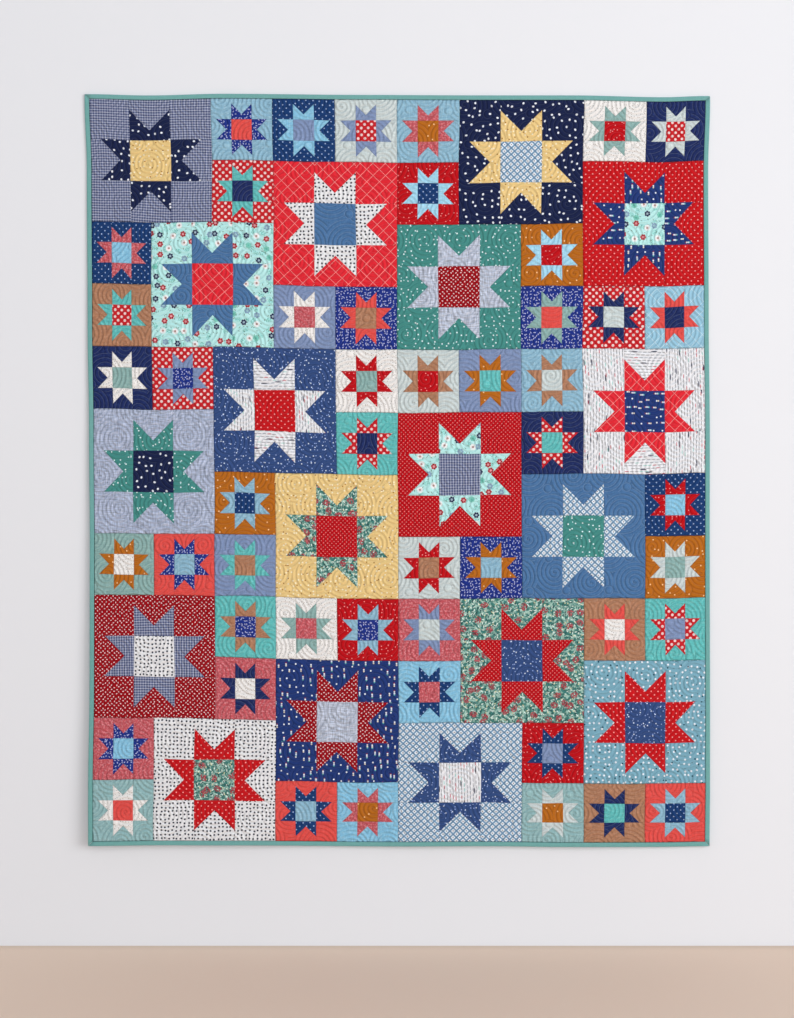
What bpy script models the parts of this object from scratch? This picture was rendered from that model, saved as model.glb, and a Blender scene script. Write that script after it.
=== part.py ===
"""A hung patchwork quilt of star blocks: the quilted layers, and the binding folded round their edge.

Metres, +Z up. The front faces -Y and the wall is the plane Y = 0. The origin is the middle of the
top edge, on the back. The quilt is first laid out flat, as `across` and `down` from the corner where
the first block's seam lines meet, and hang() then gives each point its place in the hung cloth.
"""

import math

import bmesh
import bpy

# The patchwork: blocks one unit wide, and larger ones two units wide.
UNIT_ACROSS = 0.1516  # a 6 inch block, drawn in across by the quilting
UNIT_DOWN = 0.1534  # the same block, drawn down by the quilt's own weight
COLUMNS = 10
ROWS = 12
STEPS = 6  # mesh steps to a unit, so that every seam of a small block has its own line
BACK_STEPS = 2  # the back is whole cloth and needs fewer
BINDING_STEPS = 3
LARGE_UNITS = 2
PATCHES_ACROSS_BLOCK = 3  # each block is a nine-patch
LARGE_BLOCKS = (  # column, row
    (0, 0),
    (6, 0),
    (3, 1),
    (8, 1),
    (1, 2),
    (5, 2),
    (2, 4),
    (8, 4),
    (0, 5),
    (5, 5),
    (3, 6),
    (7, 6),
    (0, 8),
    (6, 8),
    (3, 9),
    (8, 9),
    (1, 10),
    (5, 10),
)

# The layers: pieced top, batting and back, held flat at the seams and thick between them.
SEAM_HALF = 0.0013
FRONT_PUFF = 0.0017
BACK_PUFF = 0.0009
QUILTED_SHARE = 0.35  # how much of a puff the swirled quilting takes away where it passes
SWIRL_PITCH = 7.3  # mesh steps from one row of swirls to the next
SWIRL_SLANT = 0.6  # how far a row of swirls runs askew
SWIRL_SWAY = 0.37  # how far it winds to each side, in rows
SWIRL_SWAY_ACROSS = 0.55
SWIRL_SWAY_DOWN = 0.47

# The binding: a strip folded double, sewn round the edge and mitred at the corners.
BINDING_WIDE = 0.0115
BINDING_HALF = 0.0028
BINDING_CLOTH = 0.0012
BINDING_ROLL = 0.0021  # how far in the folded edge starts to round
WAIST_IN = 0.25  # the rounding's middle: its share of the roll in from the edge
WAIST_HALF = 0.62  # and its share of the full thickness
SEWN_LIP = 0.8  # share of the cloth's thickness that is left where the strip is turned under
LIP_WIDE = 0.0014
SLOT_DEEP = 0.0094
BINDING_CLEAR = 0.0003  # the binding's inner edge stops this far short of the seam line
MITRE_CLEAR = 0.0003
LAYERS_IN_SLOT = 0.0088  # how far the layers run on under the binding
EDGE_HALF = 0.0011

# How the cloth hangs. Distances are in metres, and each row is joined to the next by a smooth step.
SIDE_EDGES = (  # share of the way down, left edge outwards, right edge outwards
    (0.00, 0.0115, 0.0045),
    (0.10, 0.0057, -0.0002),
    (0.30, 0.0036, 0.0012),
    (0.45, -0.0005, 0.0038),
    (0.60, -0.0032, 0.0032),
    (0.80, -0.0039, 0.0035),
    (0.92, -0.0016, 0.0032),
    (1.00, -0.0022, 0.0018),
)
LEVEL_EDGES = (  # share of the way across, top edge upwards, bottom edge downwards
    (0.00, 0.0042, -0.0042),
    (0.10, 0.0010, -0.0050),
    (0.22, 0.0052, -0.0044),
    (0.45, 0.0023, -0.0004),
    (0.62, 0.0012, -0.0013),
    (0.78, 0.0011, 0.0008),
    (0.93, -0.0034, 0.0018),
    (1.00, -0.0004, 0.0000),
)
SEAM_DRIFT = (  # share across, how far upright seams lie to the right of even at the top, middle and foot
    (0.00, 0.0000, 0.0000, 0.0000),
    (0.10, -0.0050, -0.0047, -0.0025),
    (0.30, -0.0049, -0.0059, -0.0044),
    (0.50, -0.0007, -0.0046, -0.0037),
    (0.70, 0.0026, -0.0012, -0.0009),
    (0.90, 0.0070, 0.0021, 0.0023),
    (1.00, 0.0000, 0.0000, 0.0000),
)
SEAM_SAG = (  # share down, how far level seams lie below even at the left, middle and right
    (0.00, 0.0000, 0.0000, 0.0000),
    (0.08, -0.0026, 0.0028, -0.0042),
    (0.25, -0.0014, 0.0054, -0.0011),
    (0.42, 0.0036, 0.0109, 0.0035),
    (0.60, 0.0058, 0.0125, 0.0073),
    (0.83, 0.0017, 0.0134, 0.0101),
    (0.92, 0.0016, 0.0068, 0.0081),
    (1.00, 0.0000, 0.0000, 0.0000),
)
LEAN = 0.013  # the bottom edge stands this far off the wall
LEAN_POWER = 1.6
CORNER_LEAN = 0.014  # and the lower left corner further still
CORNER_POWER = 2.2
RIPPLES = (  # depth at the bottom edge, waves across, phase, how steeply it fades upwards
    (0.0032, 1.7, 0.6, 1.2),
    (0.0022, 3.6, 2.1, 2.4),
)
RIPPLE_START = 0.06  # share of the way down at which the cloth is still held flat

WIDE = COLUMNS * UNIT_ACROSS
TALL = ROWS * UNIT_DOWN

NAVY_PATCHWORK = (0.20, 0.27, 0.45, 1.0)
TEAL_BINDING = (0.28, 0.58, 0.53, 1.0)
COTTON_ROUGHNESS = 0.9
CREASE_ANGLE = math.radians(60)


def smooth_step(share):
    share = min(1.0, max(0.0, share))
    return share * share * (3.0 - 2.0 * share)


def along(table, share, column):
    """The value of one column of a table at a share of the way along it."""
    share = min(1.0, max(0.0, share))
    for here, there in zip(table, table[1:]):
        if share <= there[0]:
            between = smooth_step((share - here[0]) / (there[0] - here[0]))
            return here[column] + between * (there[column] - here[column])
    return table[-1][column]


def seam_shift(table, share, other_share):
    """How far a seam has moved. The table's three columns stand at none, half and all of the other share."""
    first, middle, last = (along(table, share, column) for column in (1, 2, 3))
    if other_share < 0.5:
        return first + smooth_step(2.0 * other_share) * (middle - first)
    return middle + smooth_step(2.0 * other_share - 1.0) * (last - middle)


def depth_off_wall(right_share, down_share):
    """How far the middle of the cloth stands off its place at the top edge."""
    hung = min(1.0, max(0.0, (down_share - RIPPLE_START) / (1.0 - RIPPLE_START)))
    left_share = min(1.0, max(0.0, 1.0 - right_share))
    depth = LEAN * hung**LEAN_POWER
    depth += CORNER_LEAN * hung**CORNER_POWER * left_share**CORNER_POWER
    for size, waves, phase, fade in RIPPLES:
        depth += size * hung**fade * math.sin(2.0 * math.pi * waves * right_share + phase)
    return depth


def hang(across, down, forward):
    """The hung place of a point of the flat quilt. `forward` is how far it is in front of the middle."""
    right_share = across / WIDE
    down_share = down / TALL
    left = -WIDE / 2 - along(SIDE_EDGES, down_share, 1)
    right = WIDE / 2 + along(SIDE_EDGES, down_share, 2)
    top = -BINDING_WIDE + along(LEVEL_EDGES, right_share, 1)
    bottom = -BINDING_WIDE - TALL - along(LEVEL_EDGES, right_share, 2)
    drift = seam_shift(SEAM_DRIFT, right_share, down_share)
    sag = seam_shift(SEAM_SAG, down_share, right_share)
    return (
        left + right_share * (right - left) + drift,
        -BINDING_HALF - depth_off_wall(right_share, down_share) - forward,
        top + down_share * (bottom - top) - sag,
    )


def block_at(column, row):
    """The column, row and width in units of the block that covers a unit of the patchwork."""
    for first_column, first_row in LARGE_BLOCKS:
        if 0 <= column - first_column < LARGE_UNITS and 0 <= row - first_row < LARGE_UNITS:
            return first_column, first_row, LARGE_UNITS
    return column, row, 1


def star_steps(step_across, step_down):
    """Where a mesh point lies in its block, in steps, and how many steps wide one patch is."""
    column = min(COLUMNS - 1, step_across // STEPS)
    row = min(ROWS - 1, step_down // STEPS)
    first_column, first_row, units = block_at(column, row)
    patch = units * STEPS // PATCHES_ACROSS_BLOCK
    return step_across - first_column * STEPS, step_down - first_row * STEPS, patch


def star_points_through(block_across, block_down, patch):
    """Which star points of a large block have a slanting seam through a mesh point.

    0 stands for the points at the top and bottom of the block, and 1 for those at its sides. The slants
    start a quarter of a patch in from the block's edge and meet three quarters of a patch in.
    """
    if patch * PATCHES_ACROSS_BLOCK != LARGE_UNITS * STEPS:
        return set()
    middle = patch * PATCHES_ACROSS_BLOCK // 2
    found = set()
    for turn, (beside, inward) in enumerate(((block_across, block_down), (block_down, block_across))):
        from_middle = abs(beside - middle)
        from_edge = middle - abs(inward - middle)
        if from_middle <= patch // 2 and from_middle + from_edge == patch - 1:
            found.add(turn)
    return found


def is_seam(step_across, step_down):
    block_across, block_down, patch = star_steps(step_across, step_down)
    on_patch_edge = block_across % patch == 0 or block_down % patch == 0
    return on_patch_edge or bool(star_points_through(block_across, block_down, patch))


def swirl(step_across, step_down):
    """From 0 on a quilted swirl to 1 between two of them."""
    sway = math.sin(SWIRL_SWAY_ACROSS * step_across) + math.sin(SWIRL_SWAY_DOWN * step_down)
    turn = (step_across + SWIRL_SLANT * step_down) / SWIRL_PITCH + SWIRL_SWAY * sway
    return 0.5 + 0.5 * math.sin(2.0 * math.pi * turn)


def at_binding(step_across, step_down):
    return step_across in (0, COLUMNS * STEPS) or step_down in (0, ROWS * STEPS)


def front_half(step_across, step_down):
    """The thickness in front of the middle: least on a seam, and fullest between seams and swirls."""
    if at_binding(step_across, step_down) or is_seam(step_across, step_down):
        return SEAM_HALF
    return SEAM_HALF + FRONT_PUFF * (1.0 - QUILTED_SHARE * swirl(step_across, step_down))


def back_half(step_across, step_down):
    """The thickness behind the middle. The back is whole cloth, so only the swirls draw it in."""
    if at_binding(step_across, step_down):
        return SEAM_HALF
    return SEAM_HALF + BACK_PUFF * (1.0 - swirl(step_across, step_down))


def lines(units, unit, steps):
    """The mesh lines across a side: one under the binding, then one for each step, then one more."""
    inner = [(step, step * unit / steps) for step in range(units * steps + 1)]
    return [(None, -LAYERS_IN_SLOT), *inner, (None, units * unit + LAYERS_IN_SLOT)]


def add_face_grid(mesh, steps, half_at, forward_sign):
    """One face of the layers, in front or behind. Returns its points by row and column."""
    columns = lines(COLUMNS, UNIT_ACROSS, steps)
    rows = lines(ROWS, UNIT_DOWN, steps)
    scale = STEPS // steps
    points = []
    for step_down, down in rows:
        points.append([])
        for step_across, across in columns:
            if step_across is None or step_down is None:
                half = EDGE_HALF
            else:
                half = half_at(step_across * scale, step_down * scale)
            points[-1].append(mesh.verts.new(hang(across, down, forward_sign * half)))
    for row in range(len(rows) - 1):
        for column in range(len(columns) - 1):
            ring = [
                points[row][column],
                points[row + 1][column],
                points[row + 1][column + 1],
                points[row][column + 1],
            ]
            face = mesh.faces.new(ring if forward_sign > 0 else ring[::-1])
            if forward_sign > 0 and 0 < row < len(rows) - 2 and 0 < column < len(columns) - 2:
                crease_star_point(face, ring, column - 1, row - 1)
    return points


def crease_star_point(face, ring, column, row):
    """Folds one mesh square along the slanting seam that crosses it, if one does."""
    top_left, bottom_left, bottom_right, top_right = ring
    block_across, block_down, patch = star_steps(column, row)

    def star_points_at(right, down):
        return star_points_through(block_across + right, block_down + down, patch)

    if star_points_at(0, 0) & star_points_at(1, 1):
        bmesh.utils.face_split(face, top_left, bottom_right)
    elif star_points_at(0, 1) & star_points_at(1, 0):
        bmesh.utils.face_split(face, bottom_left, top_right)


def border(points):
    """The points round the rim of a face grid, in order."""
    top = points[0][:-1]
    right = [row[-1] for row in points[:-1]]
    bottom = points[-1][:0:-1]
    left = [row[0] for row in points[:0:-1]]
    return top, right, bottom, left


def add_rim(mesh, front, back, scale):
    """The cut edge of the layers. The back has one step for each `scale` steps of the front."""
    sides = list(zip(border(front), border(back)))
    for index, (front_side, back_side) in enumerate(sides):
        next_front, next_back = sides[(index + 1) % len(sides)]
        front_run = [*front_side, next_front[0]]
        back_run = [*back_side, next_back[0]]
        place = 0
        for step in range(len(back_run) - 1):
            under_binding = step in (0, len(back_run) - 2)
            count = 1 if under_binding else scale
            span = front_run[place : place + count + 1]
            mesh.faces.new([*span, back_run[step + 1], back_run[step]])
            place += count


def material(name, colour):
    made = bpy.data.materials.new(name)
    made.use_nodes = True
    shader = made.node_tree.nodes["Principled BSDF"]
    shader.inputs["Base Color"].default_value = colour
    shader.inputs["Roughness"].default_value = COTTON_ROUGHNESS
    shader.inputs["Metallic"].default_value = 0.0
    return made


def finish_object(name, mesh, cloth):
    bmesh.ops.recalc_face_normals(mesh, faces=mesh.faces)
    data = bpy.data.meshes.new(name)
    mesh.to_mesh(data)
    mesh.free()
    data.shade_smooth()
    data.set_sharp_from_angle(angle=CREASE_ANGLE)
    data.materials.append(cloth)
    made = bpy.data.objects.new(name, data)
    bpy.context.scene.collection.objects.link(made)
    return made


def make_layers(cloth):
    """The pieced top, batting and back, quilted through into one thickness."""
    mesh = bmesh.new()
    front = add_face_grid(mesh, STEPS, front_half, 1)
    back = add_face_grid(mesh, BACK_STEPS, back_half, -1)
    add_rim(mesh, front, back, STEPS // BACK_STEPS)
    return finish_object("quilted_layers", mesh, cloth)


def binding_section():
    """The folded strip cut across: how far out from the seam line, and how far forward."""
    inner = BINDING_HALF - BINDING_CLOTH
    shoulder = BINDING_WIDE - BINDING_ROLL
    waist = BINDING_WIDE - WAIST_IN * BINDING_ROLL
    waist_half = WAIST_HALF * BINDING_HALF
    return (
        (BINDING_CLEAR, inner),
        (BINDING_CLEAR, inner + SEWN_LIP * BINDING_CLOTH),
        (LIP_WIDE, BINDING_HALF),
        (shoulder, BINDING_HALF),
        (waist, waist_half),
        (BINDING_WIDE, 0.0),
        (waist, -waist_half),
        (shoulder, -BINDING_HALF),
        (BINDING_CLEAR, -BINDING_HALF),
        (BINDING_CLEAR, -inner),
        (SLOT_DEEP, -inner),
        (SLOT_DEEP, inner),
    )


def make_binding(name, side, cloth):
    """One side's strip, from mitre to mitre."""
    level = side in ("top", "bottom")
    units, length = (COLUMNS, WIDE) if level else (ROWS, TALL)
    steps = units * BINDING_STEPS
    stations = [step * length / steps for step in range(steps + 1)]
    section = binding_section()
    mesh = bmesh.new()
    rings = []
    for index, station in enumerate(stations):
        ring = []
        for out, forward in section:
            place = station
            if index == 0:
                place = MITRE_CLEAR - out
            if index == len(stations) - 1:
                place = length + out - MITRE_CLEAR
            across, down = {
                "top": (place, -out),
                "bottom": (place, TALL + out),
                "left": (-out, place),
                "right": (WIDE + out, place),
            }[side]
            ring.append(mesh.verts.new(hang(across, down, forward)))
        rings.append(ring)
    for here, there in zip(rings, rings[1:]):
        for point in range(len(section)):
            after = (point + 1) % len(section)
            mesh.faces.new([here[point], here[after], there[after], there[point]])
    mesh.faces.new(rings[0])
    mesh.faces.new(rings[-1])
    return finish_object(name, mesh, cloth)


for old in list(bpy.data.objects):
    bpy.data.objects.remove(old)

patchwork = material("patchwork_cotton", NAVY_PATCHWORK)
teal_cotton = material("binding_cotton", TEAL_BINDING)

make_layers(patchwork)
for edge in ("top", "bottom", "left", "right"):
    make_binding("binding_" + edge, edge, teal_cotton)
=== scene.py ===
"""A throw-size quilt of star blocks, hung by its top edge: its cottons, its blocks, its back and binding."""

import math

import bpy
import mathutils
import numpy as np
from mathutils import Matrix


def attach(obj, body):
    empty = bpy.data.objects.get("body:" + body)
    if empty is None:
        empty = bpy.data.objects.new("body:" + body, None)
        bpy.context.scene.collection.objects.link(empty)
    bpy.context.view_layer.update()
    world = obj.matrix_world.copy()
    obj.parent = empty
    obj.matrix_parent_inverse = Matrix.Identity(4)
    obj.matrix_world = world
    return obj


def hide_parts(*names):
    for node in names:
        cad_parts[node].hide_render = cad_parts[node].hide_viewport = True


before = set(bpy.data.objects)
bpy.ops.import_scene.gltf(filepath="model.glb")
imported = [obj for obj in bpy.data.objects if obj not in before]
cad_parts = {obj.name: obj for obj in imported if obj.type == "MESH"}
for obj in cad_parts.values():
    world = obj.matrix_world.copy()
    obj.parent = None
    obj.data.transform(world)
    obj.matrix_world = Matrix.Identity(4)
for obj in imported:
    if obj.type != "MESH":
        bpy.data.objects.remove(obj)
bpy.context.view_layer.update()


# The plain cottons
# Quilting cottons and linen-look cloths in a fine even weave with a few thicker threads, each dyed
# one colour that took a little unevenly. All are sewn through in swirls, and creased at their seams.

THREAD_PITCH = 0.0007  # one thread up and one down
RING_PITCH = 0.0105  # from one turn of a quilted swirl to the next
STITCH = 0.0026
STITCH_SHARE = 0.82  # how much of a stitch lies on top of the cloth
SEWING_THREAD = "c6d6ea"
WEAVE_RISE = 0.00007
SLUB_RISE = 0.00012
GROOVE_DEEP = 0.0019
CREASE_DEEP = 0.0005
# painted shade at thread scale: each cotton's colour is made lighter where a thread crossing rides up and
# darker where it dips
WEAVE_PAINTED_SHADE = 0.03
# painted shade: each cotton's colour is darkened towards the lines of quilting, where the cloth dips into its
# groove
GROOVE_PAINTED_SHADE = -0.065
# painted shade: a dark line is painted into each cotton's colour along its seams, where the cloth creases
# down
CREASE_PAINTED_SHADE = -0.12


def dye(hex_code):
    """A colour as a dyer would match it on screen, as the linear numbers that a shader takes."""
    shares = [int(hex_code[place : place + 2], 16) / 255 for place in (0, 2, 4)]
    linear = [share / 12.92 if share <= 0.04045 else ((share + 0.055) / 1.055) ** 2.4 for share in shares]
    return (*linear, 1.0)


def add_node(tree, kind, inputs, **settings):
    """Adds a shader node. Each input is a number, a colour or the socket that feeds it."""
    made = tree.nodes.new(kind)
    for name, value in settings.items():
        setattr(made, name, value)
    for place, value in inputs.items():
        if isinstance(value, bpy.types.NodeSocket):
            tree.links.new(value, made.inputs[place])
        else:
            made.inputs[place].default_value = value
    return made


def calculate(tree, operation, *values):
    return add_node(tree, "ShaderNodeMath", dict(enumerate(values)), operation=operation).outputs[0]


def vector_math(tree, operation, *values):
    """The vector that a Vector Math node gives, or its length."""
    made = add_node(tree, "ShaderNodeVectorMath", dict(enumerate(values)), operation=operation)
    return made.outputs["Value" if operation == "LENGTH" else "Vector"]


def add_noise(tree, place, scale, detail):
    inputs = {"Vector": place, "Scale": scale, "Detail": detail}
    return add_node(tree, "ShaderNodeTexNoise", inputs).outputs[0]


def rotated(tree, place, angle):
    """A place turned about the cloth's upright, by an angle or a socket that gives one."""
    inputs = {"Vector": place, "Angle": angle}
    return add_node(tree, "ShaderNodeVectorRotate", inputs, rotation_type="Z_AXIS").outputs[0]


def parts_of(tree, vector):
    return add_node(tree, "ShaderNodeSeparateXYZ", {0: vector}).outputs


def add_up(tree, total, weights):
    """A total to which each value is added at its weight."""
    for value, weight in weights:
        total = calculate(tree, "MULTIPLY_ADD", value, weight, total)
    return total


def fade(tree, value, full, none):
    """1 up to `full`, then down to 0 at `none`. With `none` below `full` it rises instead."""
    limits = {"Value": value, "From Min": full, "From Max": none, "To Min": 1.0, "To Max": 0.0}
    return add_node(tree, "ShaderNodeMapRange", limits, interpolation_type="SMOOTHSTEP").outputs[0]


def lay(tree, under, over, mask, how="MIX"):
    """One colour laid over another where the mask is 1."""
    colours = {0: mask, 6: under, 7: over}
    return add_node(tree, "ShaderNodeMix", colours, data_type="RGBA", blend_type=how).outputs[2]


def new_group(name, inputs, outputs):
    """A node group with its inputs and outputs, and the sockets that stand for them inside it."""
    group = bpy.data.node_groups.new(name, "ShaderNodeTree")
    for way, labels in (("INPUT", inputs), ("OUTPUT", outputs)):
        for label in labels:
            kind = "NodeSocketVector" if label in ("Threads", "Place") else "NodeSocketFloat"
            group.interface.new_socket(label, in_out=way, socket_type=kind)
    return group, group.nodes.new("NodeGroupInput").outputs, group.nodes.new("NodeGroupOutput").inputs


def use_group(tree, group, inputs):
    return add_node(tree, "ShaderNodeGroup", inputs, node_tree=group).outputs


weave, given, gives = new_group("cotton_weave", ["Threads"], ["Height", "Slub"])
split = parts_of(weave, given["Threads"])
crossings = [
    calculate(weave, "SINE", calculate(weave, "MULTIPLY", split[axis], 2 * math.pi / THREAD_PITCH))
    for axis in (0, 1)
]
weave.links.new(calculate(weave, "MULTIPLY", *crossings), gives["Height"])
slubs = []
for thick_threads in ((400.0, 44.0, 1.0), (44.0, 400.0, 1.0)):
    stretched = vector_math(weave, "MULTIPLY", given["Threads"], thick_threads)
    slubs.append(add_noise(weave, stretched, 1.0, 1.0))
weave.links.new(calculate(weave, "SUBTRACT", calculate(weave, "ADD", *slubs), 1.0), gives["Slub"])

# The long-arm quilting is read from two attributes: where a point lies from the middle of its swirl,
# with the way the swirl turns as its third number, and how far it lies from the nearest seam.
sewing, given, gives = new_group("sewing", [], ["Thread", "Groove", "Crease"])
swirl = add_node(sewing, "ShaderNodeAttribute", {}, attribute_name="swirl").outputs["Vector"]
split = parts_of(sewing, swirl)
flat_swirl = vector_math(sewing, "MULTIPLY", swirl, (1.0, 1.0, 0.0))
from_middle = calculate(sewing, "DIVIDE", vector_math(sewing, "LENGTH", flat_swirl), RING_PITCH)
closed = calculate(sewing, "SUBTRACT", 1.0, calculate(sewing, "ABSOLUTE", split[2]))
from_middle = calculate(sewing, "MAXIMUM", from_middle, calculate(sewing, "MULTIPLY", closed, 0.5))
turned = calculate(sewing, "DIVIDE", calculate(sewing, "ARCTAN2", split[1], split[0]), 2 * math.pi)
turn = calculate(sewing, "ADD", from_middle, calculate(sewing, "MULTIPLY", turned, split[2]))
whole_turns = calculate(sewing, "ROUND", turn)
off_line = calculate(sewing, "ABSOLUTE", calculate(sewing, "SUBTRACT", turn, whole_turns))
off_line = calculate(sewing, "MULTIPLY", off_line, RING_PITCH)
stitches = calculate(sewing, "MULTIPLY", whole_turns, 2 * math.pi * RING_PITCH / STITCH)
stitches = calculate(sewing, "FRACT", calculate(sewing, "MULTIPLY", stitches, turned))
on_top = calculate(sewing, "LESS_THAN", stitches, STITCH_SHARE)
thread_line = fade(sewing, off_line, 0.0002, 0.0009)
sewing.links.new(calculate(sewing, "MULTIPLY", on_top, thread_line), gives["Thread"])
sewing.links.new(fade(sewing, off_line, 0.0, 0.5 * RING_PITCH), gives["Groove"])
seam_distance = add_node(sewing, "ShaderNodeAttribute", {}, attribute_name="seam").outputs["Fac"]
sewing.links.new(fade(sewing, seam_distance, 0.0001, 0.0016), gives["Crease"])

cotton = {}


def start_cotton(name):
    """A new cotton's material and its place along the threads of each patch, in metres."""
    made = bpy.data.materials.new(name)
    made.use_nodes = True
    cotton[name] = made
    tree = made.node_tree
    return tree, add_node(tree, "ShaderNodeUVMap", {}, uv_map="threads").outputs[0]


def finish_cotton(tree, threads, colour, slub=0.14, thread_shows=0.05):
    """Weaves, sews and creases the printed colour, paints shade into the weave's dips, the quilting grooves
    and the seam creases, and gives it the soft matt face of washed cotton.
    """
    cloth = use_group(tree, weave, {"Threads": threads})
    sewn = use_group(tree, sewing, {})
    weaving, groove, crease = cloth["Height"], sewn["Groove"], sewn["Crease"]
    # The colour is multiplied by the thick threads' uneven dye and by painted shade: darker in the weave's
    # dips, along the quilting grooves and in the seam creases.
    tones_and_shades = ((cloth["Slub"], slub), (weaving, WEAVE_PAINTED_SHADE), (crease, CREASE_PAINTED_SHADE), (groove, GROOVE_PAINTED_SHADE))
    tone_and_shade = add_up(tree, 1.0, tones_and_shades)
    shaded = lay(tree, colour, tone_and_shade, 1.0, "MULTIPLY")
    mask = calculate(tree, "MULTIPLY", sewn["Thread"], thread_shows)
    shader = tree.nodes["Principled BSDF"]
    tree.links.new(lay(tree, shaded, dye(SEWING_THREAD), mask), shader.inputs["Base Color"])
    rises = ((weaving, WEAVE_RISE), (cloth["Slub"], SLUB_RISE))
    height = add_up(tree, 0.0, (*rises, (groove, -GROOVE_DEEP), (crease, -CREASE_DEEP)))
    relief = add_node(tree, "ShaderNodeBump", {"Height": height, "Distance": 1.0, "Strength": 1.0})
    tree.links.new(relief.outputs[0], shader.inputs["Normal"])
    shader.inputs["Roughness"].default_value = 0.88
    shader.inputs["Specular IOR Level"].default_value = 0.09
    shader.inputs["Sheen Weight"].default_value = 0.02
    shader.inputs["Sheen Roughness"].default_value = 0.5


PLAIN_COTTONS = (  # name, dye, paler dye of its mottling, how far thick threads show
    ("denim", "4b75a6", "537cab", 0.30),
    ("light_blue", "8ebbd4", "9ec7dc", 0.34),
    ("pale_blue", "a3dbf6", "b2e2f8", 0.34),
    ("sky", "88c6e7", "9dd2ed", 0.34),
    ("periwinkle", "8094bc", "8b9ec5", 0.36),
    ("pale_grey", "cbd8da", "d5e1e2", 0.34),
    ("coral", "e6524d", "e85c57", 0.26),
    ("teal", "62c0c0", "76cac9", 0.34),
    ("rose", "c4565f", "e08d95", 0.45),
    ("tan", "af7e61", "bb8c71", 0.34),
    ("lavender_linen", "bac4d8", "c8d0e0", 1.20),
    ("lavender_deep", "aab6d0", "bac4da", 1.20),
    ("sage", "8cb2b0", "99bcb9", 0.36),
    ("aqua_grey", "93bbbf", "a0c5c8", 0.36),
    ("navy", "202d60", "28386e", 0.24),
)
THREAD_SHOWS = {"denim": 0.18, "navy": 0.12}
MOTTLES_A_METRE = {"rose": 210.0}
for name, colour, paler, slub in PLAIN_COTTONS:
    tree, threads = start_cotton(name)
    mottle = add_noise(tree, threads, MOTTLES_A_METRE.get(name, 150.0), 3.0)
    dyed = lay(tree, dye(colour), dye(paler), fade(tree, mottle, 0.66, 0.46))
    finish_cotton(tree, threads, dyed, slub, THREAD_SHOWS.get(name, 0.05))


# The dotted and sprinkled prints
# Cottons printed with small dots: in staggered rows on the regular ones, and thrown about on the others.
# Each print is one to three layers of like marks, and every mark is drawn from its own middle.

MARK_SIZES = ("Spacing", "Length", "Width", "Scatter", "Askew", "Spin", "Keep", "Seed")
marks, given, gives = new_group("scattered_marks", ["Threads", *MARK_SIZES], ["Mask", "Place", "Pick"])
straight = rotated(marks, given["Threads"], given["Askew"])
in_cells = vector_math(marks, "DIVIDE", straight, given["Spacing"])
in_cells = vector_math(marks, "ADD", in_cells, given["Seed"])
cells = add_node(
    marks,
    "ShaderNodeTexVoronoi",
    {"Vector": in_cells, "Scale": 1.0, "Randomness": given["Scatter"]},
    voronoi_dimensions="2D",
)
picks = add_node(marks, "ShaderNodeSeparateColor", {0: cells.outputs["Color"]}).outputs
place = vector_math(marks, "SUBTRACT", in_cells, cells.outputs["Position"])
place = vector_math(marks, "MULTIPLY", place, (1.0, 1.0, 0.0))
place = vector_math(marks, "MULTIPLY", place, given["Spacing"])
spin = calculate(marks, "MULTIPLY", given["Spin"], picks[0])
place = rotated(marks, place, spin)
sizes = add_node(marks, "ShaderNodeCombineXYZ", {0: given["Length"], 1: given["Width"], 2: 1.0}).outputs[0]
reach = vector_math(marks, "LENGTH", vector_math(marks, "DIVIDE", place, sizes))
kept = calculate(marks, "LESS_THAN", picks[1], given["Keep"])
marks.links.new(calculate(marks, "MULTIPLY", fade(marks, reach, 0.42, 0.58), kept), gives["Mask"])
marks.links.new(place, gives["Place"])
marks.links.new(picks[2], gives["Pick"])

STAGGERED = math.radians(45)
ANY_WAY = 2 * math.pi


def scatter(tree, threads, spacing, length, width, loose, askew, spin, keep, seed=0.0):
    """One layer of like marks."""
    sizes = (spacing, length, width, loose, askew, spin, keep, seed)
    return use_group(tree, marks, {"Threads": threads, **dict(zip(MARK_SIZES, sizes))})


DOTTED_PRINTS = (  # name, ground, then of its marks: dye, spacing, length, width, scatter, askew, spin, keep
    ("navy_scattered", "1b254c", "eef4ff", 0.0195, 0.0060, 0.0048, 0.75, 0, ANY_WAY, 1.0),
    ("yellow", "efd08e", "fcf0d0", 0.0132, 0.0042, 0.0040, 0.75, 0, ANY_WAY, 0.9),
    ("white_black", "eff1f5", "2c3040", 0.0098, 0.0050, 0.0046, 0.34, 0, ANY_WAY, 1.0),
    ("red_small", "cb161d", "f8a8aa", 0.0121, 0.0034, 0.0034, 0.06, STAGGERED, 0, 1.0),
    ("green_dots", "46908b", "e6faff", 0.0165, 0.0038, 0.0036, 0.80, 0, ANY_WAY, 1.0),
    ("dark_red_ditsy", "9c0a15", "fbd8de", 0.0080, 0.0041, 0.0025, 0.35, STAGGERED, ANY_WAY, 1.0),
    ("blue_specks", "365086", "a4bcf4", 0.0105, 0.0026, 0.0026, 0.95, 0, 0, 0.75),
    ("red_specks", "c2101a", "f99a9c", 0.0112, 0.0029, 0.0028, 0.95, 0, ANY_WAY, 0.75),
    ("red_fine", "bf0c17", "f08a8c", 0.0074, 0.0027, 0.0027, 0.03, STAGGERED, 0, 1.0),
    ("blue_small", "1a3d74", "a3bbe4", 0.0121, 0.0034, 0.0034, 0.06, STAGGERED, 0, 1.0),
    ("royal", "20348a", "b6bce8", 0.0072, 0.0048, 0.0023, 0.80, 0, ANY_WAY, 0.95),
    ("red_polka", "cc222a", "f4dada", 0.0122, 0.0068, 0.0068, 0.05, STAGGERED, 0, 1.0),
    ("ochre", "ba6c1f", "fbd09c", 0.0270, 0.0036, 0.0036, 0.80, 0, ANY_WAY, 1.0),
    ("cream", "f2f1f0", "aaa7a2", 0.0066, 0.0022, 0.0018, 0.90, 0, ANY_WAY, 0.8),
    ("blue_teal", "7fb2c7", "668c9c", 0.0220, 0.0034, 0.0034, 0.85, 0, ANY_WAY, 1.0),
)
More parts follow.
